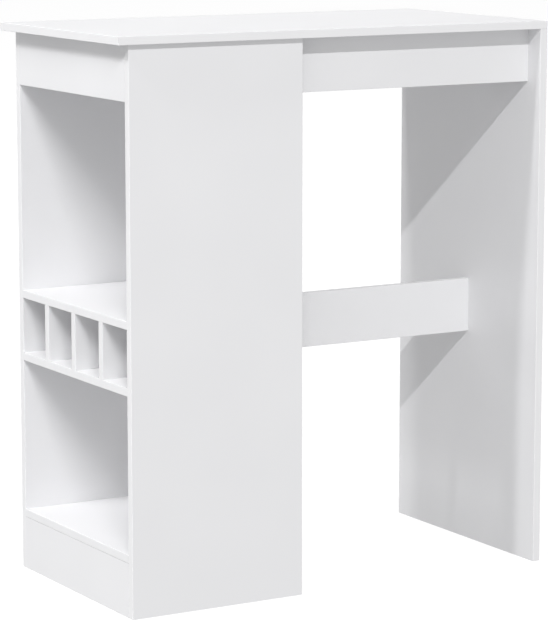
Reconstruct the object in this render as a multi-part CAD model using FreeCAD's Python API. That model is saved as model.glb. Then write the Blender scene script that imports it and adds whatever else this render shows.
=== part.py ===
import FreeCAD, Part
import os

os.makedirs("parts", exist_ok=True)

# Table, in millimetres: X runs along its length to the leg panel, Y to the back, Z up from the floor
table_length = 900.0
table_depth = 475.0
table_height = 1035.0
board = 15.0  # thickness of every melamine-faced board

# Shelf unit under the left end of the top, open to both sides
top_overhang_left = 25.0  # top past the open end
top_overhang_sides = 12.0  # top past the front and back walls
unit_length = 350.0
plinth_height = 100.0
rack_underside = 401.5  # lower rack shelf above the floor
cell_height = 104.0
cell_count = 4  # an even number, so that a divider stands in the middle of the rack

# Rails: aprons under the top, and a foot rail that carries on the middle divider of the rack
apron_height = 100.0
front_apron_setback = 40.0  # behind the front edge of the top

# Plastic edging glued to the board edges that show
edging = 1.0
edging_round = 0.8

# Cam fittings: a bolt screwed into one board is drawn in by a cam let into the next
cam_diameter = 15.0
cam_floor = 3.0  # board left under the pocket
cam_sink = 0.3  # cam below the face of its board
cam_reach = 34.0  # from the end of the board to the cam's axis
cam_recess_length = 8.0  # crossed slots for the driver
cam_recess_width = 1.6
cam_recess_depth = 2.0
bolt_shank = 7.0
bolt_thread = 6.0
bolt_neck = 4.0
bolt_head_length = 3.6
bolt_floor = 4.0  # board left past the end of the bolt
cap_lip = 1.2  # cover cap past the rim of the pocket
cap_thickness = 1.0
cap_chamfer = 0.5

# Wooden dowels
dowel_diameter = 8.0
dowel_in_edge = 20.0
dowel_floor = 5.0  # board left past the end of the dowel
dowel_chamfer = 1.0

# Countersunk screws that hold the dividers from under the rack
screw_diameter = 4.0
screw_head = 8.0
screw_length = 45.0
screw_point = 5.0
screw_recess_length = 4.4
screw_recess_width = 1.0
screw_recess_depth = 1.6

# Room for the fittings in their bores
fit_gap = 0.1
end_gap = 0.5

# Places of the fittings, from the ends and edges of their boards
wall_cam_inset = 70.0
shelf_cam_inset = 50.0
leg_cam_inset = 80.0
leg_dowel_inset = 130.0
rail_dowel_spread = 26.0  # dowels above and below the cam of a rail
front_apron_drop = 15.0  # fittings of the front apron below the middle, clear of the side apron's own
divider_fitting_inset = 60.0

# Planes of the table
left = -table_length / 2
right = table_length / 2
front = -table_depth / 2
back = table_depth / 2
under_top = table_height - board
leg_inner = right - board
apron_underside = under_top - apron_height
front_apron_face = front + front_apron_setback

# Planes of the shelf unit
unit_left = left + top_overhang_left
unit_right = unit_left + unit_length
unit_front = front + top_overhang_sides
unit_back = back - top_overhang_sides
inner_front = unit_front + board
inner_back = unit_back - board
side_apron_inner = unit_left + board
bottom_shelf_top = plinth_height + board
rack_floor = rack_underside + board
rack_roof = rack_floor + cell_height
rack_top = rack_roof + board
cell_width = (inner_back - inner_front - (cell_count - 1) * board) / cell_count

# Directions
V = FreeCAD.Vector
TO_LEFT = V(-1, 0, 0)
TO_RIGHT = V(1, 0, 0)
TO_FRONT = V(0, -1, 0)
TO_BACK = V(0, 1, 0)
UP = V(0, 0, 1)
DOWN = V(0, 0, -1)

boards = {}
strips = {}
edging_nodes = {}
bores = {}
nodes = {}


def add(node, solid):
    nodes.setdefault(node, []).append(solid)


# Boards and their edging
def box(low, high):
    size = high - low
    return Part.makeBox(size.x, size.y, size.z, low)


def edging_strip(low, high, axis, outer):
    """A strip of edging between two corners, with the long arrises of its outer face rounded."""
    strip = box(low, high)
    size = high - low
    run = max(range(3), key=lambda direction: size[direction])
    arrises = []
    for edge in strip.Edges:
        start, end = [vertex.Point for vertex in edge.Vertexes]
        on_outer_face = max(abs(start[axis] - outer), abs(end[axis] - outer)) < edging / 2
        along_the_run = abs(start[run] - end[run]) > size[run] / 2
        if on_outer_face and along_the_run:
            arrises.append(edge)
    return strip.makeFillet(min(edging_round, 0.9 * edging), arrises)


def make_board(name, low, high, edged_sides=(), edging_node=None):
    """A board between two corners. Each edged side gives up the edging's thickness to a strip."""
    core_low = V(low)
    core_high = V(high)
    strips[name] = []
    edging_nodes[name] = edging_node or name + "_edging"
    for side in edged_sides:
        axis = "xyz".index(side[1])
        strip_low = V(core_low)
        strip_high = V(core_high)
        if side[0] == "-":
            outer = core_low[axis]
            core_low[axis] = outer + edging
            strip_high[axis] = outer + edging
        else:
            outer = core_high[axis]
            core_high[axis] = outer - edging
            strip_low[axis] = outer - edging
        strips[name].append(edging_strip(strip_low, strip_high, axis, outer))
    boards[name] = box(core_low, core_high)
    bores[name] = []


make_board(
    "table_top",
    V(left, front, under_top),
    V(right, back, table_height),
    ["-y", "+y", "-x", "+x"],
)
make_board("leg_panel", V(leg_inner, front, 0), V(right, back, under_top), ["-y", "+y"])
make_board(
    "front_wall",
    V(unit_left, unit_front, 0),
    V(unit_right, inner_front, under_top),
    ["-x", "+x"],
)
make_board(
    "back_wall",
    V(unit_left, inner_back, 0),
    V(unit_right, unit_back, under_top),
    ["-x", "+x"],
)
make_board(
    "side_apron",
    V(unit_left, inner_front, apron_underside),
    V(side_apron_inner, inner_back, under_top),
    ["-z"],
)
make_board("plinth", V(unit_left, inner_front, 0), V(unit_left + board, inner_back, plinth_height))
make_board(
    "bottom_shelf",
    V(unit_left, inner_front, plinth_height),
    V(unit_right, inner_back, bottom_shelf_top),
    ["-x", "+x"],
)
make_board(
    "rack_lower_shelf",
    V(unit_left, inner_front, rack_underside),
    V(unit_right, inner_back, rack_floor),
    ["-x", "+x"],
    "rack_shelf_edging",
)
make_board(
    "rack_upper_shelf",
    V(unit_left, inner_front, rack_roof),
    V(unit_right, inner_back, rack_top),
    ["-x", "+x"],
    "rack_shelf_edging",
)

# Front apron: it runs on behind the front wall and ends on the side apron
make_board(
    "front_apron",
    V(side_apron_inner, front_apron_face, apron_underside),
    V(leg_inner, front_apron_face + board, under_top),
    ["-z"],
)

# Bottle dividers, each with the middle of its thickness along Y. The middle one runs on to the leg panel
# as the foot rail, and the others are numbered from the front
divider_middles = {}
middle_place = cell_count // 2
for place in range(1, cell_count):
    face = inner_front + place * cell_width + (place - 1) * board
    if place == middle_place:
        divider = "foot_rail"
        divider_right = leg_inner
        edged_sides = ["-x", "-z", "+z"]
        edging_node = "foot_rail_edging"
    else:
        divider = "bottle_divider_%d" % (place if place < middle_place else place - 1)
        divider_right = unit_right
        edged_sides = ["-x", "+x"]
        edging_node = "bottle_divider_edging"
    divider_middles[divider] = face + board / 2
    make_board(
        divider,
        V(unit_left, face, rack_floor),
        V(divider_right, face + board, rack_roof),
        edged_sides,
        edging_node,
    )


# Fittings are drawn along X: the board that carries one ends at 0, and the board it meets begins there
def turned(profile):
    """A solid of revolution about X, from points of distance along X and radius."""
    points = [V(along, radius, 0) for along, radius in profile]
    outline = Part.makePolygon(points + points[:1])
    return Part.Face(outline).revolve(V(0, 0, 0), TO_RIGHT, 360)


def cylinder(diameter, start, end):
    return Part.makeCylinder(diameter / 2, end - start, V(start, 0, 0), TO_RIGHT)


def cross(length, width, start, end):
    """The two crossed bars of a driver's slots, about X."""
    flat = Part.makeBox(end - start, length, width, V(start, -length / 2, -width / 2))
    upright = Part.makeBox(end - start, width, length, V(start, -width / 2, -length / 2))
    return flat.fuse(upright).removeSplitter()


def frame_at(origin, along, up):
    """The frame that takes X to one direction and Z to another."""
    side = up.cross(along)
    rotation = FreeCAD.Rotation(along, side, up, "XYZ")
    return FreeCAD.Placement(origin, rotation)


def put(solid, frame):
    copy = solid.copy()
    copy.Placement = frame * solid.Placement
    return copy


# Cam bolt: thread in the board it meets, shank, neck and head in the board that carries the cam
shank_end = -cam_reach + cam_diameter / 2 + end_gap
head_start = -cam_reach + bolt_head_length / 2
head_end = -cam_reach - bolt_head_length / 2
thread_bore = board - bolt_floor
thread_end = thread_bore - end_gap
cam_bolt = turned(
    [
        (thread_end, 0),
        (thread_end, bolt_thread / 2),
        (0, bolt_thread / 2),
        (0, bolt_shank / 2),
        (shank_end, bolt_shank / 2),
        (shank_end, bolt_neck / 2),
        (head_start, bolt_neck / 2),
        (head_start, bolt_shank / 2),
        (head_end, bolt_shank / 2),
        (head_end, 0),
    ]
)
bolt_thread_bore = cylinder(bolt_thread + 2 * fit_gap, 0, thread_bore)
bolt_shank_bore = cylinder(bolt_shank + 2 * fit_gap, head_end - end_gap, 0)

# Cam nut and its cover cap, about the cam's own axis: heights are from the middle of the board
cam_frame = frame_at(V(-cam_reach, 0, 0), UP, TO_LEFT)
cam_face = board / 2
cam_seat = cam_floor - board / 2
cam_top = cam_face - cam_sink
recess_foot = cam_top - cam_recess_depth
out_of_board = cam_face + board
cam_pocket = put(cylinder(cam_diameter + 2 * fit_gap, cam_seat, out_of_board), cam_frame)
cam_body = put(cylinder(cam_diameter, cam_seat, cam_top), cam_frame)
driver_slots = put(cross(cam_recess_length, cam_recess_width, recess_foot, cam_face), cam_frame)
head_room = cylinder(bolt_shank + 2 * fit_gap, head_end - fit_gap, head_start + fit_gap)
neck_room = cylinder(bolt_neck + 2 * fit_gap, -cam_reach, shank_end)
cam_nut = cam_body.cut([driver_slots, head_room, neck_room])

cap_radius = cam_diameter / 2 + fit_gap + cap_lip
cap_top = cam_face + cap_thickness
cap_disc = turned(
    [
        (cam_face, 0),
        (cam_face, cap_radius),
        (cap_top - cap_chamfer, cap_radius),
        (cap_top, cap_radius - cap_chamfer),
        (cap_top, 0),
    ]
)
cap_spigot = cross(
    cam_recess_length - 2 * fit_gap,
    cam_recess_width - 2 * fit_gap,
    recess_foot + fit_gap,
    cam_face,
)
cam_cap = put(cap_disc.fuse(cap_spigot).removeSplitter(), cam_frame)

# Dowel
dowel_in_face = board - dowel_floor
dowel_tip_radius = dowel_diameter / 2 - dowel_chamfer
dowel = turned(
    [
        (-dowel_in_edge, 0),
        (-dowel_in_edge, dowel_tip_radius),
        (-dowel_in_edge + dowel_chamfer, dowel_diameter / 2),
        (dowel_in_face - dowel_chamfer, dowel_diameter / 2),
        (dowel_in_face, dowel_tip_radius),
        (dowel_in_face, 0),
    ]
)
dowel_edge_bore = cylinder(dowel_diameter + 2 * fit_gap, -dowel_in_edge - end_gap, 0)
dowel_face_bore = cylinder(dowel_diameter + 2 * fit_gap, 0, dowel_in_face + end_gap)

# Divider screw: its head lies in the underside of the shelf, and it ends in the divider
screw_start = -board + fit_gap
screw_end = screw_start + screw_length
head_depth = (screw_head - screw_diameter) / 2
screw_body = turned(
    [
        (screw_start, 0),
        (screw_start, screw_head / 2),
        (screw_start + head_depth, screw_diameter / 2),
        (screw_end - screw_point, screw_diameter / 2),
        (screw_end, 0),
    ]
)
screw_slots = cross(
    screw_recess_length, screw_recess_width, screw_start, screw_start + screw_recess_depth
)
divider_screw = screw_body.cut(screw_slots)
screw_bore_radius = screw_diameter / 2 + fit_gap
screw_shelf_bore = turned(
    [
        (-board, 0),
        (-board, screw_head / 2 + 2 * fit_gap),
        (-board + head_depth + fit_gap, screw_bore_radius),
        (0, screw_bore_radius),
        (0, 0),
    ]
)
screw_divider_bore = cylinder(2 * screw_bore_radius, 0, screw_end + end_gap)


# Joints: each drills the two boards where they meet and sets its fittings there
def cam_joint(group, carrier, mate, meet, into_mate, cam_side, capped):
    frame = frame_at(meet, into_mate, cam_side)
    bores[mate].append(put(bolt_thread_bore, frame))
    bores[carrier].append(put(bolt_shank_bore, frame))
    bores[carrier].append(put(cam_pocket, frame))
    add(group + "_cam_bolts", put(cam_bolt, frame))
    add(group + "_cam_nuts", put(cam_nut, frame))
    if capped:
        add("cam_caps", put(cam_cap, frame))


def dowel_joint(group, carrier, mate, meet, into_mate):
    any_side = V(into_mate.y, into_mate.z, into_mate.x)
    frame = frame_at(meet, into_mate, any_side)
    bores[mate].append(put(dowel_face_bore, frame))
    bores[carrier].append(put(dowel_edge_bore, frame))
    add(group + "_dowels", put(dowel, frame))


def rail_end(rail, mate, meet, into_mate, cam_side, capped):
    """One end of an upright rail: a cam between two dowels."""
    cam_joint(rail, rail, mate, meet, into_mate, cam_side, capped)
    for height in (-rail_dowel_spread, rail_dowel_spread):
        dowel_joint(rail, rail, mate, meet + UP * height, into_mate)


walls = (("front_wall", inner_front, TO_FRONT), ("back_wall", inner_back, TO_BACK))
unit_middle = (unit_left + unit_right) / 2
leg_middle = right - board / 2
rail_across = unit_left + board / 2
apron_middle = apron_underside + apron_height / 2
rack_middle = (rack_floor + rack_roof) / 2

# Table top on the walls and the leg panel
for wall, inner, outward in walls:
    wall_middle = inner + outward.y * board / 2
    for along in (unit_left + wall_cam_inset, unit_right - wall_cam_inset):
        meet = V(along, wall_middle, under_top)
        cam_joint("table_top", wall, "table_top", meet, UP, -outward, True)
    dowel_joint("table_top", wall, "table_top", V(unit_middle, wall_middle, under_top), UP)
for across in (front + leg_cam_inset, back - leg_cam_inset):
    meet = V(leg_middle, across, under_top)
    cam_joint("table_top", "leg_panel", "table_top", meet, UP, TO_LEFT, True)
for across in (front + leg_dowel_inset, back - leg_dowel_inset):
    dowel_joint("table_top", "leg_panel", "table_top", V(leg_middle, across, under_top), UP)

# Front apron between the side apron and the leg panel, and the foot rail's end on the leg panel
front_apron_middle = front_apron_face + board / 2
front_apron_cam = apron_middle - front_apron_drop
front_apron_left = V(side_apron_inner, front_apron_middle, front_apron_cam)
front_apron_right = V(leg_inner, front_apron_middle, front_apron_cam)
rail_end("front_apron", "side_apron", front_apron_left, TO_LEFT, TO_BACK, True)
rail_end("front_apron", "leg_panel", front_apron_right, TO_RIGHT, TO_BACK, True)
foot_rail_right = V(leg_inner, divider_middles["foot_rail"], rack_middle)
rail_end("foot_rail", "leg_panel", foot_rail_right, TO_RIGHT, TO_BACK, True)

# Side apron, plinth and shelves between the front and back walls. The front apron stands so close to one
# cam of the side apron that only the other has a cap
shelves = (
    ("bottom_shelf", "bottom_shelf", plinth_height),
    ("rack_shelf", "rack_lower_shelf", rack_underside),
    ("rack_shelf", "rack_upper_shelf", rack_roof),
)
for wall, inner, outward in walls:
    apron_end = V(rail_across, inner, apron_middle)
    rail_end("side_apron", wall, apron_end, outward, TO_RIGHT, wall == "back_wall")
    plinth_end = V(rail_across, inner, plinth_height / 2)
    rail_end("plinth", wall, plinth_end, outward, TO_RIGHT, False)
    for group, shelf, underside in shelves:
        height = underside + board / 2
        for along in (unit_left + shelf_cam_inset, unit_right - shelf_cam_inset):
            cam_joint(group, shelf, wall, V(along, inner, height), outward, DOWN, False)
        dowel_joint(group, shelf, wall, V(unit_middle, inner, height), outward)

# Dividers and foot rail between the rack shelves: screws from below, dowels above
for divider, across in divider_middles.items():
    for along in (unit_left + divider_fitting_inset, unit_right - divider_fitting_inset):
        screw_frame = frame_at(V(along, across, rack_floor), UP, TO_RIGHT)
        bores["rack_lower_shelf"].append(put(screw_shelf_bore, screw_frame))
        bores[divider].append(put(screw_divider_bore, screw_frame))
        add("bottle_divider_screws", put(divider_screw, screw_frame))
        divider_top = V(along, across, rack_roof)
        dowel_joint("bottle_divider", divider, "rack_upper_shelf", divider_top, UP)

for name, solid in boards.items():
    for piece in solid.cut(bores[name]).Solids:
        add(name, piece)
    for strip in strips[name]:
        for piece in strip.cut(bores[name]).Solids:
            add(edging_nodes[name], piece)
for node, solids in nodes.items():
    Part.makeCompound(solids).exportStep("parts/%s.step" % node)
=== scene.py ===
import bmesh
import bpy
import math
from mathutils import Matrix, Vector


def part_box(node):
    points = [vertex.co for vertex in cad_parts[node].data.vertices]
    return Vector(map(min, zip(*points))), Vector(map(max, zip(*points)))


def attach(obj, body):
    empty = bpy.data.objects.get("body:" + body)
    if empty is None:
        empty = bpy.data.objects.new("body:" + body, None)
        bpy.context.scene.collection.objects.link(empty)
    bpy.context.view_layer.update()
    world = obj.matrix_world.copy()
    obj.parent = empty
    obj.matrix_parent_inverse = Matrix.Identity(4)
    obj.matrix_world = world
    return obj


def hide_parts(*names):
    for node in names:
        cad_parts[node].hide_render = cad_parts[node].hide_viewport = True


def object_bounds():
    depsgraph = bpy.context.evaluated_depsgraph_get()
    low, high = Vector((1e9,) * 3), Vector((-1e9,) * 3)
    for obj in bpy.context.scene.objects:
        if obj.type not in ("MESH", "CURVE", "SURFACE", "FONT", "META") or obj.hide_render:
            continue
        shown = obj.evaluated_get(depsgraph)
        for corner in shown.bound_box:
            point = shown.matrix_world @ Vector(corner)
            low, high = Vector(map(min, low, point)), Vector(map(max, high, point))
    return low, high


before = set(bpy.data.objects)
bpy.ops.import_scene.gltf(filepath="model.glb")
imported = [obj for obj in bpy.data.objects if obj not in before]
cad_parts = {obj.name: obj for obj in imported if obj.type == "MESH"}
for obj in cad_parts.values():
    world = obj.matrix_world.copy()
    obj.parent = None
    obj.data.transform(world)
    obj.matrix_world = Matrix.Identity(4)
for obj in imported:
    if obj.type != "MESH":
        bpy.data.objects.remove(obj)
cad_low, cad_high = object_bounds()

# Walls of the shelf unit: the wide upright at the front and its twin at the back.
# Each is sawn from 15 mm chipboard with white melamine paper pressed on both faces in a fine satin grain.
# They are drilled in their inner faces and upper edges, and cams and dowels draw the other boards to them.
paper_white = (0.800, 0.800, 0.812, 1.0)
paper_shade = (0.785, 0.785, 0.798, 1.0)
paper_clouds = (5.0, 4.0)  # soft patches for each metre, and how finely they are broken up
satin_roughness = (0.40, 0.50)
grain_scale = 1400.0  # pressed grain, for each metre
grain_detail = 2.0
grain_relief = (0.00004, 0.25)  # depth, and how strongly it shows
noise_low = 0.3  # most of a noise lies between these two
noise_high = 0.7


def new_finish(name):
    """An empty material, with its shader and a helper that adds a node and sets its sockets."""
    finish = bpy.data.materials.new(name)
    finish.use_nodes = True
    tree = finish.node_tree
    shader = tree.nodes["Principled BSDF"]

    def add_node(kind, **sockets):
        node = tree.nodes.new(kind)
        for socket, value in sockets.items():
            node.inputs[socket.replace("_", " ")].default_value = value
        return node

    return finish, shader, add_node, tree.links.new


def add_clouds(add_node, link, place, clouds, low, high):
    """Soft patches between two colours that lie close together."""
    scale, detail = clouds
    noise = add_node("ShaderNodeTexNoise", Scale=scale, Detail=detail)
    ramp = add_node("ShaderNodeValToRGB")
    ramp.color_ramp.elements[0].position = noise_low
    ramp.color_ramp.elements[0].color = low
    ramp.color_ramp.elements[1].position = noise_high
    ramp.color_ramp.elements[1].color = high
    link(place, noise.inputs["Vector"])
    link(noise.outputs["Fac"], ramp.inputs["Fac"])
    return noise, ramp


def add_roughness(add_node, link, noise, shader, low, high):
    """A roughness that wanders between two values with the noise."""
    spread = add_node("ShaderNodeMapRange", From_Min=noise_low, From_Max=noise_high, To_Min=low, To_Max=high)
    link(noise.outputs["Fac"], spread.inputs["Value"])
    link(spread.outputs["Result"], shader.inputs["Roughness"])


def add_relief(add_node, link, height, shader, depth, strength):
    """A shallow relief in the surface."""
    bump = add_node("ShaderNodeBump", Strength=strength, Distance=depth)
    link(height, bump.inputs["Height"])
    link(bump.outputs["Normal"], shader.inputs["Normal"])


def make_melamine():
    finish, shader, add_node, link = new_finish("satin_white_melamine")
    place = add_node("ShaderNodeTexCoord").outputs["Object"]
    noise, ramp = add_clouds(add_node, link, place, paper_clouds, paper_shade, paper_white)
    link(ramp.outputs["Color"], shader.inputs["Base Color"])
    add_roughness(add_node, link, noise, shader, *satin_roughness)
    grain = add_node("ShaderNodeTexNoise", Scale=grain_scale, Detail=grain_detail)
    link(place, grain.inputs["Vector"])
    add_relief(add_node, link, grain.outputs["Fac"], shader, *grain_relief)
    return finish


chip_pale = (0.56, 0.39, 0.23, 1.0)
chip_dark = (0.25, 0.15, 0.08, 1.0)
chip_scale = 420.0  # wood chips, for each metre
chip_roughness = 0.85
chip_relief = (0.0004, 0.6)


def make_chipboard():
    finish, shader, add_node, link = new_finish("raw_chipboard")
    place = add_node("ShaderNodeTexCoord").outputs["Object"]
    chips = add_node("ShaderNodeTexVoronoi", Scale=chip_scale)
    link(place, chips.inputs["Vector"])
    shade = add_node("ShaderNodeSeparateColor")
    link(chips.outputs["Color"], shade.inputs["Color"])
    ramp = add_node("ShaderNodeValToRGB")
    ramp.color_ramp.elements[0].color = chip_dark
    ramp.color_ramp.elements[1].color = chip_pale
    link(shade.outputs["Red"], ramp.inputs["Fac"])
    link(ramp.outputs["Color"], shader.inputs["Base Color"])
    shader.inputs["Roughness"].default_value = chip_roughness
    add_relief(add_node, link, chips.outputs["Distance"], shader, *chip_relief)
    return finish


melamine = make_melamine()
chipboard = make_chipboard()
face_depth = 0.00005  # what lies this near the outside of a board is its face
X, Y, Z = 0, 1, 2


def face_board(node, across):
    """Melamine on the two faces of a board that is thin along one axis, raw chipboard on the rest."""
    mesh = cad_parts[node].data
    low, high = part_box(node)
    mesh.materials.clear()
    mesh.materials.append(melamine)
    mesh.materials.append(chipboard)
    for polygon in mesh.polygons:
        depth = min(polygon.center[across] - low[across], high[across] - polygon.center[across])
        polygon.material_index = 0 if depth < face_depth else 1


face_board("front_wall", Y)
face_board("back_wall", Y)

# Bottom shelf and the plinth below it, at the foot of the shelf unit.
# Both are of the same melamine-faced chipboard, drawn to the walls by cams. The plinth is flush with the
# edges of the walls, and white all round but for its upper edge, painted grey as the shade in the hairline
# joint under the shelf.
# Painted shade: a grey for the plinth's upper edge that stands in for the shadow in the joint under the
# shelf.
joint_shade_grey = (0.42, 0.42, 0.43, 1.0)
joint_shade_dark = (0.36, 0.36, 0.37, 1.0)
joint_shade_clouds = (120.0, 3.0)
joint_shade_roughness = (0.60, 0.75)
joint_shade_relief = (0.0001, 0.4)
looks_up = 0.99  # least upward part of the normal of a polygon that looks straight up


def make_mottled(name, clouds, shade, pale, roughness, relief, metallic=0.0):
    """A finish whose colour, gloss and relief all wander with one noise."""
    finish, shader, add_node, link = new_finish(name)
    place = add_node("ShaderNodeTexCoord").outputs["Object"]
    noise, ramp = add_clouds(add_node, link, place, clouds, shade, pale)
    link(ramp.outputs["Color"], shader.inputs["Base Color"])
    shader.inputs["Metallic"].default_value = metallic
    add_roughness(add_node, link, noise, shader, *roughness)
    add_relief(add_node, link, noise.outputs["Fac"], shader, *relief)
    return finish


def dress(nodes, finish):
    """One finish all over each of the named nodes."""
    for node in nodes:
        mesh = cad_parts[node].data
        mesh.materials.clear()
        mesh.materials.append(finish)


def paint_shade_on_upper_edge(node, joint_shade_finish):
    """Painted grey shade on what looks straight up in a board that stands on edge."""
    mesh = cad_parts[node].data
    mesh.materials.append(joint_shade_finish)
    for polygon in mesh.polygons:
        if polygon.normal.z > looks_up:
            polygon.material_index = 1


face_board("bottom_shelf", Z)
dress(["plinth"], melamine)
# The grey on the plinth's upper edge is painted shade for the hairline joint under the shelf.
painted_joint_shade = make_mottled("painted_joint_shade_grey", joint_shade_clouds, joint_shade_dark, joint_shade_grey, joint_shade_roughness,
                           joint_shade_relief)
paint_shade_on_upper_edge("plinth", painted_joint_shade)

# Bottle rack: two shelves with three boards on edge between them, which leave four cells.
# The middle board runs on through the knee space to the leg panel as the foot rail. Screws through the
# lower shelf and dowels in the upper one hold all three.
face_board("rack_lower_shelf", Z)
face_board("rack_upper_shelf", Z)
face_board("bottle_divider_1", Y)
face_board("bottle_divider_2", Y)
face_board("foot_rail", Y)

# Aprons: one across the open end of the shelf unit, and one along the front under the top.
# Strips of the same board, set on edge between two boards with a cam and two dowels at each end. The one at
# the open end is flush with the edges of the walls and white all round, as the plinth is.
dress(["side_apron"], melamine)
face_board("front_apron", Y)

# Leg panel: the upright that carries the other end of the top.
# One board over the whole depth of the table, standing on its sawn lower edge.
face_board("leg_panel", X)

# Table top: one board that lies on the walls and on the leg panel.
# Cam bolts and dowels in its underside hold it, so its upper face is unbroken.
face_board("table_top", Z)

# Edging: thin strips of white plastic on every board edge that shows.
# Extruded strip, glued on hot, trimmed flush and rounded along its arrises. It is a little glossier than
# the boards.
edging_white = (0.815, 0.815, 0.825, 1.0)
edging_shade = (0.800, 0.800, 0.811, 1.0)
edging_clouds = (18.0, 3.0)
edging_roughness = (0.30, 0.38)
trim_scale = 260.0  # marks of the trimmer, for each metre
trim_detail = 3.0
trim_relief = (0.00003, 0.3)


def make_edging():
    finish, shader, add_node, link = new_finish("white_edging")
    place = add_node("ShaderNodeTexCoord").outputs["Object"]
    noise, ramp = add_clouds(add_node, link, place, edging_clouds, edging_shade, edging_white)
    link(ramp.outputs["Color"], shader.inputs["Base Color"])
    add_roughness(add_node, link, noise, shader, *edging_roughness)
    marks = add_node("ShaderNodeTexNoise", Scale=trim_scale, Detail=trim_detail)
    link(place, marks.inputs["Vector"])
    add_relief(add_node, link, marks.outputs["Fac"], shader, *trim_relief)
    return finish


edged = ("table_top", "leg_panel", "front_wall", "back_wall", "side_apron", "bottom_shelf", "rack_shelf",
         "bottle_divider", "front_apron", "foot_rail")
dress([board + "_edging" for board in edged], make_edging())

# Cam bolts: zinc-plated steel, turned, with a coarse thread rolled on.
# Each is driven into the face of one board by the crossed slots in its head. The head and neck then lie in
# the cam of the next board.
plating_bright = (0.62, 0.63, 0.65, 1.0)
plating_dull = (0.50, 0.51, 0.53, 1.0)
plating_clouds = (700.0, 3.0)
plating_roughness = (0.24, 0.40)
plating_relief = (0.00002, 0.4)
bolt_head = 0.0036  # lengths, from the head to the tip
bolt_neck = 0.0062
bolt_shank = 0.0260
bolt_thread = 0.0105
bolt_radius = 0.0035  # of the head and the shank
bolt_neck_radius = 0.0020
bolt_crest = 0.0030  # radius over the thread
bolt_root = 0.0023  # radius between its turns
bolt_pitch = 0.0022
bolt_chamfer = 0.0004
bolt_slots = (0.0020, 0.00055, 0.0018)  # half the length, half the width, depth
slot_taper = 0.7  # floor of the crossed slots against their rim
ridge = ((0.0, 0.0), (0.22, 1.0), (0.34, 1.0), (0.56, 0.0))  # shares of a turn and of the ridge's height
diagonal_steps = 3  # from a corner between two slots to the diagonal between them
weld = 1e-6  # points nearer than this are one
end_slice = 1e-5  # points this near the end of a fitting lie in it
crease = math.radians(35.0)  # what bends more than this stays sharp


def fittings_in(node):
    """The points of each separate fitting in a CAD node."""
    shape = bmesh.new()
    shape.from_mesh(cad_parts[node].data)
    bmesh.ops.remove_doubles(shape, verts=shape.verts, dist=weld)
    fittings = []
    for first in shape.verts:
        if first.tag:
            continue
        first.tag = True
        reached = [first]
        points = []
        while reached:
            point = reached.pop()
            points.append(point.co.copy())
            for edge in point.link_edges:
                neighbour = edge.other_vert(point)
                if not neighbour.tag:
                    neighbour.tag = True
                    reached.append(neighbour)
        fittings.append(points)
    shape.free()
    return fittings


def lie_of(points):
    """Where a round fitting begins, at its wider end, and the way it points."""
    low = Vector([min(point[axis] for point in points) for axis in (X, Y, Z)])
    high = Vector([max(point[axis] for point in points) for axis in (X, Y, Z)])
    size = high - low
    along = max((X, Y, Z), key=lambda axis: size[axis])
    ends = []
    for level in (low[along], high[along]):
        centre = (low + high) / 2
        centre[along] = level
        width = max((point - centre).length for point in points if abs(point[along] - level) < end_slice)
        ends.append((width, centre))
    (low_width, low_end), (high_width, high_end) = ends
    if high_width > low_width:
        return high_end, (low_end - high_end).normalized()
    return low_end, (high_end - low_end).normalized()


def plain_rows(angles, profile):
    """Rows of points straight round an axis, from distances along it and radii."""
    return [[pair] * len(angles) for pair in profile]


def driver_angles(half_length, half_width):
    """Angles round a head that fall on every corner of its crossed slots."""
    corner = math.degrees(math.atan2(half_width, half_length))
    gap = (45.0 - corner) / diagonal_steps
    quarter = [0.0] + [corner + gap * step for step in range(2 * diagonal_steps + 1)]
    return [math.radians(90.0 * number + angle) for number in range(4) for angle in quarter]


def slot_rows(angles, half_length, half_width, depth):
    """Rows of the crossed slots, from the middle of their floor to their rim in the face of the head."""
    corner = math.atan2(half_width, half_length)
    floor = []
    rim = []
    for angle in angles:
        turn = abs((angle + math.pi / 4) % (math.pi / 2) - math.pi / 4)
        radius = half_length / math.cos(turn) if turn <= corner else half_width / math.sin(turn)
        floor.append((depth, slot_taper * radius))
        rim.append((0.0, radius))
    return plain_rows(angles, [(depth, 0.0)]) + [floor, rim]


def thread_rows(angles, begin, end, pitch, crest, root, point=0.0):
    """Rows that climb one pitch in a turn. The ridge runs out at both ends; a point tapers to nothing."""
    turns = math.ceil((end - begin) / pitch) + 2
    rows = []
    for turn in range(turns):
        for share, height in ridge:
            row = []
            for angle in angles:
                along = begin + pitch * (turn - 1 + share + angle / math.tau)
                along = min(max(along, begin), end)
                run_out = min(1.0, (along - begin) / pitch, (end - along) / pitch)
                taper = min(1.0, (end - along) / point) if point else 1.0
                row.append((along, taper * (root + (crest - root) * height * run_out)))
            rows.append(row)
    return rows


def add_round(shape, begin, direction, angles, head, thread, tip):
    """A closed skin about an axis, from rows of points. After one turn a row of the thread meets the row
    one pitch further on, and any other row meets itself."""
    side = direction.orthogonal().normalized()
    up = direction.cross(side)
    rings = []
    for row in head + thread + tip:
        ring = []
        for angle, (along, radius) in zip(angles, row):
            outward = side * math.cos(angle) + up * math.sin(angle)
            ring.append(shape.verts.new(begin + direction * along + outward * radius))
        rings.append(ring)
    last = len(head) + len(thread) - 1
    for number, ring in enumerate(rings):
        threaded = len(head) <= number <= last
        meets = min(number + len(ridge), last) if threaded else number
        ring.append(rings[meets][0])
    for ring, following in zip(rings, rings[1:]):
        for place in range(len(angles)):
            corners = (ring[place], ring[place + 1], following[place + 1], following[place])
            shape.faces.new(dict.fromkeys(corners))


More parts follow.
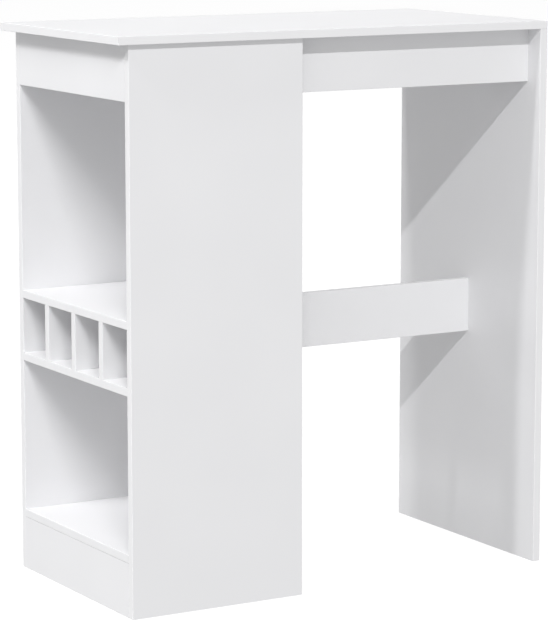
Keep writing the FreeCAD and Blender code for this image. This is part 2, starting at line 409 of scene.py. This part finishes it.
def shape_fittings(node, finish, angles, head, thread, tip):
    """One shaped mesh for all the fittings in a node, each in the place of its plain CAD solid."""
    shape = bmesh.new()
    for points in fittings_in(node):
        begin, direction = lie_of(points)
        add_round(shape, begin, direction, angles, head, thread, tip)
    bmesh.ops.remove_doubles(shape, verts=shape.verts, dist=weld)
    bmesh.ops.recalc_face_normals(shape, faces=shape.faces)
    mesh = bpy.data.meshes.new("shaped_" + node)
    shape.to_mesh(mesh)
    shape.free()
    mesh.shade_smooth()
    mesh.set_sharp_from_angle(angle=crease)
    mesh.materials.append(finish)
    piece = bpy.data.objects.new("shaped_" + node, mesh)
    bpy.context.scene.collection.objects.link(piece)
    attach(piece, "root")
    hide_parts(node)


joined = ("table_top", "side_apron", "front_apron", "foot_rail", "rack_shelf", "bottom_shelf", "plinth")
steel = make_mottled("zinc_plated_steel", plating_clouds, plating_dull, plating_bright, plating_roughness,
                     plating_relief, metallic=1.0)
bolt_edge = bolt_radius - bolt_chamfer
shank_start = bolt_head + bolt_neck
thread_start = shank_start + bolt_shank
bolt_tip = thread_start + bolt_thread
bolt_angles = driver_angles(*bolt_slots[:2])
bolt_body = plain_rows(bolt_angles, (
    (0.0, bolt_edge),
    (bolt_chamfer, bolt_radius),
    (bolt_head - bolt_chamfer, bolt_radius),
    (bolt_head, bolt_edge),
    (bolt_head, bolt_neck_radius),
    (shank_start, bolt_neck_radius),
    (shank_start, bolt_edge),
    (shank_start + bolt_chamfer, bolt_radius),
    (thread_start - bolt_chamfer, bolt_radius),
    (thread_start, bolt_edge),
))
thread_end = bolt_tip - bolt_chamfer
for group in joined:
    shape_fittings(
        group + "_cam_bolts", steel, bolt_angles,
        head=slot_rows(bolt_angles, *bolt_slots) + bolt_body,
        thread=thread_rows(bolt_angles, thread_start, thread_end, bolt_pitch, bolt_crest, bolt_root),
        tip=plain_rows(bolt_angles, ((bolt_tip, bolt_root - bolt_chamfer), (bolt_tip, 0.0))),
    )

# Divider screws: countersunk chipboard screws of the same plated steel.
# They go up through the lower rack shelf into the dividers and the foot rail, with their heads sunk flush.
screw_length = 0.0450
screw_head_radius = 0.0040
screw_rim = 0.00015
screw_neck = 0.0012  # bare length under the head
screw_crest = 0.0020  # radius over the thread
screw_root = 0.0013  # radius between its turns
screw_pitch = 0.0018
screw_point = 0.0050
screw_slots = (0.0022, 0.0005, 0.0016)  # half the length, half the width, depth

screw_angles = driver_angles(*screw_slots[:2])
head_foot = screw_head_radius - screw_root
screw_cone = plain_rows(screw_angles, (
    (0.0, screw_head_radius - 2 * screw_rim),
    (screw_rim, screw_head_radius - screw_rim),
    (head_foot, screw_root),
))
shape_fittings(
    "bottle_divider_screws", steel, screw_angles,
    head=slot_rows(screw_angles, *screw_slots) + screw_cone,
    thread=thread_rows(screw_angles, head_foot + screw_neck, screw_length, screw_pitch, screw_crest,
                       screw_root, screw_point),
    tip=plain_rows(screw_angles, ((screw_length, 0.0),)),
)

# Cam nuts: round die-castings of zinc, each in a pocket drilled into its board.
# A turn of the crossed slots draws the head of the bolt in and closes the joint.
cast_bright = (0.55, 0.55, 0.54, 1.0)
cast_dull = (0.38, 0.38, 0.38, 1.0)
cast_clouds = (900.0, 5.0)
cast_roughness = (0.42, 0.60)
cast_relief = (0.00006, 0.5)

cast_zinc = make_mottled("die_cast_zinc", cast_clouds, cast_dull, cast_bright, cast_roughness, cast_relief,
                         metallic=1.0)
dress([group + "_cam_nuts" for group in joined], cast_zinc)

# Cover caps: thin white discs of moulded plastic that close the cam pockets where these could be seen.
# A crossed spigot under the disc is pressed into the slots of the cam.
cap_white = (0.79, 0.79, 0.79, 1.0)
cap_shade = (0.76, 0.76, 0.765, 1.0)
cap_clouds = (300.0, 3.0)
cap_roughness = (0.34, 0.46)
cap_relief = (0.00004, 0.4)

cap_plastic = make_mottled("moulded_white_cap", cap_clouds, cap_shade, cap_white, cap_roughness, cap_relief)
dress(["cam_caps"], cap_plastic)

# Dowels: short pegs of beech that keep the boards in line, glued into one board and slid into the next.
# Turned from straight-grained wood and driven through a die that presses the flutes, chamfered at both ends.
dowel_length = 0.030
dowel_radius = 0.0040
dowel_chamfer = 0.0010
flute_count = 20
flute_depth = 0.00035
beech_pale = (0.62, 0.43, 0.26, 1.0)
beech_dark = (0.44, 0.27, 0.14, 1.0)
beech_fibres = (2200.0, 4.0)  # across the grain for each metre, and how finely they are broken up
beech_stretch = 0.04  # fibres along the grain, against those across it
beech_roughness = (0.55, 0.70)
beech_relief = (0.00008, 0.5)


def make_beech(along):
    finish, shader, add_node, link = new_finish("beech_along_" + "xyz"[along])
    place = add_node("ShaderNodeTexCoord").outputs["Object"]
    stretch = [1.0, 1.0, 1.0]
    stretch[along] = beech_stretch
    mapping = add_node("ShaderNodeMapping", Scale=stretch)
    link(place, mapping.inputs["Vector"])
    drawn_out = mapping.outputs["Vector"]
    noise, ramp = add_clouds(add_node, link, drawn_out, beech_fibres, beech_dark, beech_pale)
    link(ramp.outputs["Color"], shader.inputs["Base Color"])
    add_roughness(add_node, link, noise, shader, *beech_roughness)
    add_relief(add_node, link, noise.outputs["Fac"], shader, *beech_relief)
    return finish


def fluted_row(along):
    """A row whose radius steps in and out between the ridges and the flutes."""
    pair = (dowel_radius, dowel_radius, dowel_radius - flute_depth, dowel_radius - flute_depth)
    return [(along, radius) for radius in pair * flute_count]


dowel_points = 4 * flute_count  # two on each ridge and two in each flute
dowel_angles = [math.tau * place / dowel_points for place in range(dowel_points)]
dowel_end = dowel_radius - dowel_chamfer
dowel_start_rows = plain_rows(dowel_angles, ((0.0, 0.0), (0.0, dowel_end)))
dowel_far_rows = plain_rows(dowel_angles, ((dowel_length, dowel_end), (dowel_length, 0.0)))
dowels = (
    (X, ("front_apron", "foot_rail")),
    (Y, ("side_apron", "rack_shelf", "bottom_shelf", "plinth")),
    (Z, ("table_top", "bottle_divider")),
)
for axis, groups in dowels:
    beech = make_beech(axis)
    for group in groups:
        shape_fittings(
            group + "_dowels", beech, dowel_angles,
            head=dowel_start_rows + [fluted_row(dowel_chamfer), fluted_row(dowel_length - dowel_chamfer)],
            thread=[],
            tip=dowel_far_rows,
        )

# Studio floor: a wide white floor that runs up into a wall all round, without an edge.
# It is seen and takes shadows; the light from below comes from the pale surroundings instead.
floor_radius = 30.0
cove_radius = 10.0
wall_top = 40.0
cove_steps = 12
floor_segments = 64
floor_weld = 1e-5
floor_paint = (0.16, 0.16, 0.16, 1.0)
floor_glow = 0.90
plain_white = (1.0, 1.0, 1.0, 1.0)


def make_studio_floor():
    finish, shader = new_finish("white_studio_floor")[:2]
    shader.inputs["Base Color"].default_value = floor_paint
    shader.inputs["Roughness"].default_value = 1.0
    shader.inputs["Specular IOR Level"].default_value = 0.0
    shader.inputs["Emission Color"].default_value = plain_white
    shader.inputs["Emission Strength"].default_value = floor_glow
    profile = [Vector((0.0, 0.0, 0.0)), Vector((floor_radius, 0.0, 0.0))]
    for step in range(1, cove_steps + 1):
        turn = math.radians(90.0) * step / cove_steps
        out = floor_radius + cove_radius * math.sin(turn)
        profile.append(Vector((out, 0.0, cove_radius * (1.0 - math.cos(turn)))))
    profile.append(Vector((floor_radius + cove_radius, 0.0, wall_top)))
    mesh = bpy.data.meshes.new("studio_floor")
    sweep = bmesh.new()
    points = [sweep.verts.new(point) for point in profile]
    edges = [sweep.edges.new(pair) for pair in zip(points, points[1:])]
    bmesh.ops.spin(sweep, geom=points + edges, cent=(0, 0, 0), axis=(0, 0, 1), angle=math.tau,
                   steps=floor_segments, use_merge=True)
    bmesh.ops.remove_doubles(sweep, verts=sweep.verts, dist=floor_weld)
    bmesh.ops.recalc_face_normals(sweep, faces=sweep.faces)
    for face in sweep.faces:
        face.smooth = True
    sweep.to_mesh(mesh)
    sweep.free()
    mesh.materials.append(finish)
    floor = bpy.data.objects.new("studio_floor", mesh)
    bpy.context.scene.collection.objects.link(floor)
    floor.visible_diffuse = False
    floor.visible_glossy = False
    floor.visible_transmission = False
    floor.visible_shadow = False
    return floor


make_studio_floor()

# Studio light: long softboxes far from the table, one to the front left and two to the left.
# The first throws shadows that are clear under the long edges and soft beside the upright ones. Low lights
# fill in from the right and from behind, and the surroundings are palest at the front left.
table_middle = (cad_low + cad_high) / 2
lengthwise = Vector((1.0, 0.0, 0.0))
crosswise = Vector((0.0, 1.0, 0.0))
pale_side = Vector((-0.53, -0.79, -0.32))
surroundings = (0.18, 0.75)  # away from the pale side, and towards it


def hang_softbox(name, travel, distance, along, length, width, light_on_table):
    """A flat oblong lamp whose length runs along one direction, as bright on the table as is asked."""
    direction = travel.normalized()
    along = along.normalized()
    facing = (direction - along * direction.dot(along)).normalized()
    light = bpy.data.lights.new(name, "AREA")
    light.shape = "RECTANGLE"
    light.size = length
    light.size_y = width
    light.energy = light_on_table * math.pi * distance ** 2 / direction.dot(facing)
    lamp = bpy.data.objects.new(name, light)
    bpy.context.scene.collection.objects.link(lamp)
    lamp.location = table_middle - direction * distance
    lamp.rotation_mode = "QUATERNION"
    axes = Matrix((along, along.cross(facing), -facing))
    lamp.rotation_quaternion = axes.transposed().to_quaternion()


hang_softbox("key_softbox", travel=Vector((0.49, 1.0, -0.805)), distance=22.0, along=lengthwise,
             length=6.4, width=0.3, light_on_table=1.53)
hang_softbox("left_softbox", travel=Vector((1.0, 0.11, -1.045)), distance=17.4, along=crosswise,
             length=0.7, width=3.4, light_on_table=0.90)
hang_softbox("left_back_softbox", travel=Vector((1.0, -0.085, -1.225)), distance=19.0, along=crosswise,
             length=1.5, width=2.7, light_on_table=0.90)
hang_softbox("right_softbox", travel=Vector((-1.0, -0.4, -0.25)), distance=9.0, along=crosswise,
             length=4.0, width=3.0, light_on_table=0.99)
hang_softbox("right_back_softbox", travel=Vector((-0.6, -1.0, -0.30)), distance=9.0, along=lengthwise,
             length=4.0, width=3.0, light_on_table=0.09)
hang_softbox("back_softbox", travel=Vector((0.1, -1.0, -0.35)), distance=9.0, along=lengthwise,
             length=5.0, width=2.5, light_on_table=0.60)


def light_surroundings():
    """A plain world that grows lighter towards its pale side."""
    world = bpy.data.worlds.new("studio")
    world.use_nodes = True
    nodes = world.node_tree.nodes
    link = world.node_tree.links.new
    nodes["Background"].inputs["Color"].default_value = plain_white
    turn = nodes.new("ShaderNodeVectorMath")
    turn.operation = "DOT_PRODUCT"
    turn.inputs[1].default_value = pale_side.normalized()
    strength = nodes.new("ShaderNodeMapRange")
    strength.inputs["From Min"].default_value = -1.0
    strength.inputs["From Max"].default_value = 1.0
    strength.inputs["To Min"].default_value, strength.inputs["To Max"].default_value = surroundings
    link(nodes.new("ShaderNodeTexCoord").outputs["Generated"], turn.inputs[0])
    link(turn.outputs["Value"], strength.inputs["Value"])
    link(strength.outputs["Result"], nodes["Background"].inputs["Strength"])
    return world


bpy.context.scene.world = light_surroundings()

# Camera: a long lens a little above the table top, off the front left corner of the table.
# It looks down by a few degrees and has no shift, so the table stays in the frame in other views.
camera_place = Vector((-2.713, -4.622, 1.360))
camera_turn = math.radians(30.39)
camera_dip = math.radians(9.40)
camera_lens = 161.7
camera_data = bpy.data.cameras.new("camera")
camera_data.lens = camera_lens
camera = bpy.data.objects.new("camera", camera_data)
bpy.context.scene.collection.objects.link(camera)
camera.location = camera_place
camera.rotation_euler = (math.radians(90.0) - camera_dip, 0.0, -camera_turn)
bpy.context.scene.camera = camera
bpy.context.scene.view_settings.view_transform = "Standard"
